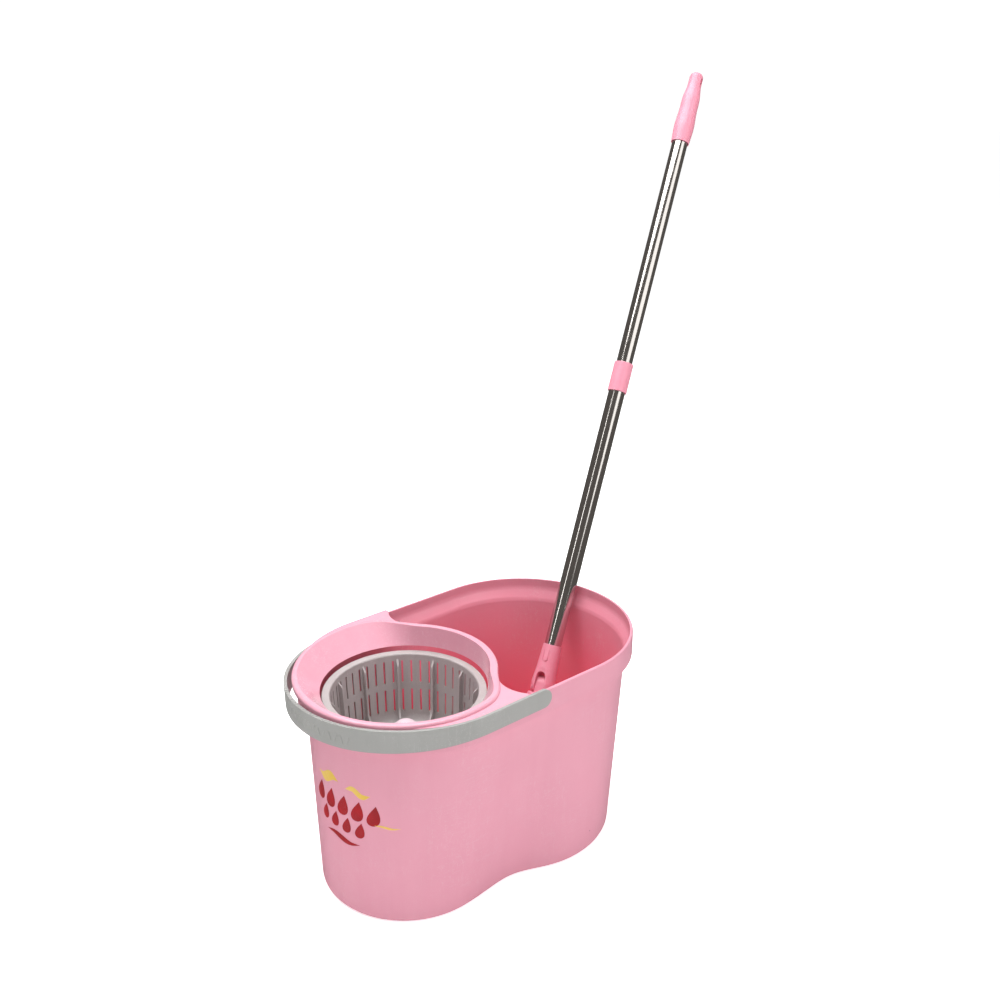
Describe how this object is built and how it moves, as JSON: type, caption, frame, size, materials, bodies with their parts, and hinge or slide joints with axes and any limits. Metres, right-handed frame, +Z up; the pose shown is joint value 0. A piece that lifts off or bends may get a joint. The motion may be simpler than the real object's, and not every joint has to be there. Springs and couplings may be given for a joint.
{
  "type": "spin mop",
  "caption": "Spin mop: two-lobed bucket with bail handle, wringer basket under a funnel ring, and a telescopic push-to-spin mop leaning in the rinsing end.",
  "frame": {"origin": "middle of the bucket's flat underside", "axes": "+X from the wringer basket to the rinsing end, +Z up from the floor"},
  "size_m": [0.768, 0.307, 0.8954],
  "materials": {
    "bucket_pink": "satin moulded polypropylene",
    "ring_pink": "glossy moulded polypropylene",
    "pole_pink": "glossy moulded plastic",
    "handle_grey": "satin moulded plastic",
    "basket_grey": "satin moulded plastic",
    "hub_white": "polished plastic",
    "bush_white": "natural acetal",
    "head_white": "satin moulded plastic",
    "stainless": "polished stainless steel",
    "zinc_steel": "zinc plated",
    "spring_steel": "drawn wire",
    "yarn_white": "looped microfibre yarn"
  },
  "bodies": {
    "bucket": {"bucket": "bucket_pink", "funnel_ring": "ring_pink", "axle_pin": "zinc_steel", "thrust_washer": "bush_white", "axle_nut": "zinc_steel"},
    "bail": {"bail_handle": "handle_grey"},
    "spin_basket": {"basket": "basket_grey", "hub_bush": "bush_white", "hub_cap": "hub_white"},
    "mop_head": {"head_plate": "head_white", "refill_ring": "head_white", "microfiber_yarn": "yarn_white"},
    "swivel": {"swivel_neck": "pole_pink", "tilt_pin": "zinc_steel", "neck_retainer": "head_white", "retainer_screw": "zinc_steel"},
    "lower_pole": {"pole_connector": "pole_pink", "lower_tube": "stainless", "base_plug": "bush_white", "spiral_rod": "zinc_steel", "rod_stop": "zinc_steel", "collet": "bush_white"},
    "collar": {"collar_nut": "pole_pink"},
    "slider": {"guide_bush": "bush_white", "clutch_spring": "spring_steel"},
    "nut": {"drive_nut": "bush_white"},
    "upper_pole": {"upper_tube": "stainless", "grip": "pole_pink", "ratchet_ring": "bush_white"}
  },
  "joints": [
    {"name": "bail_swing", "type": "hinge", "parent": "bucket", "child": "bail", "pos_m": [-0.0125, 0, 0.2535], "axis": [0, 0.9987, -0.0506], "range_deg": [0, 90]},
    {"name": "basket_spin", "type": "hinge", "parent": "bucket", "child": "spin_basket", "pos_m": [-0.098, 0, 0.15], "axis": [0, 0, 1], "continuous": true},
    {"name": "mop_lift", "type": "slide", "parent": "bucket", "child": "mop_head", "axis": [0, 0, 1], "range_m": [0, 0.35]},
    {"name": "head_swivel", "type": "hinge", "parent": "mop_head", "child": "swivel", "pos_m": [0.11031, 0.00938, 0.11136], "axis": [0.4678, 0.1624, 0.8688], "continuous": true},
    {"name": "pole_tilt", "type": "hinge", "parent": "swivel", "child": "lower_pole", "pos_m": [0.1337, 0.0175, 0.1548], "axis": [0.328, -0.9447, 0], "range_deg": [0, 35]},
    {"name": "collar_twist", "type": "hinge", "parent": "lower_pole", "child": "collar", "pos_m": [0.32829, 0.08507, 0.51622], "axis": [0.4678, 0.1624, 0.8688], "range_deg": [0, 90]},
    {"name": "telescope", "type": "slide", "parent": "lower_pole", "child": "slider", "axis": [0.4678, 0.1624, 0.8688], "range_m": [-0.235, 0]},
    {"name": "nut_drive", "type": "hinge", "parent": "slider", "child": "nut", "pos_m": [0.27964, 0.06818, 0.42587], "axis": [0.4678, 0.1624, 0.8688], "range_deg": [-960, 10]},
    {"name": "pole_spin", "type": "hinge", "parent": "slider", "child": "upper_pole", "pos_m": [0.36758, 0.09872, 0.5892], "axis": [0.4678, 0.1624, 0.8688], "continuous": true}
  ],
  "couplings": [
    {"joint": "nut_drive", "follows": "telescope", "rad_per_m": 69.813}
  ]
}
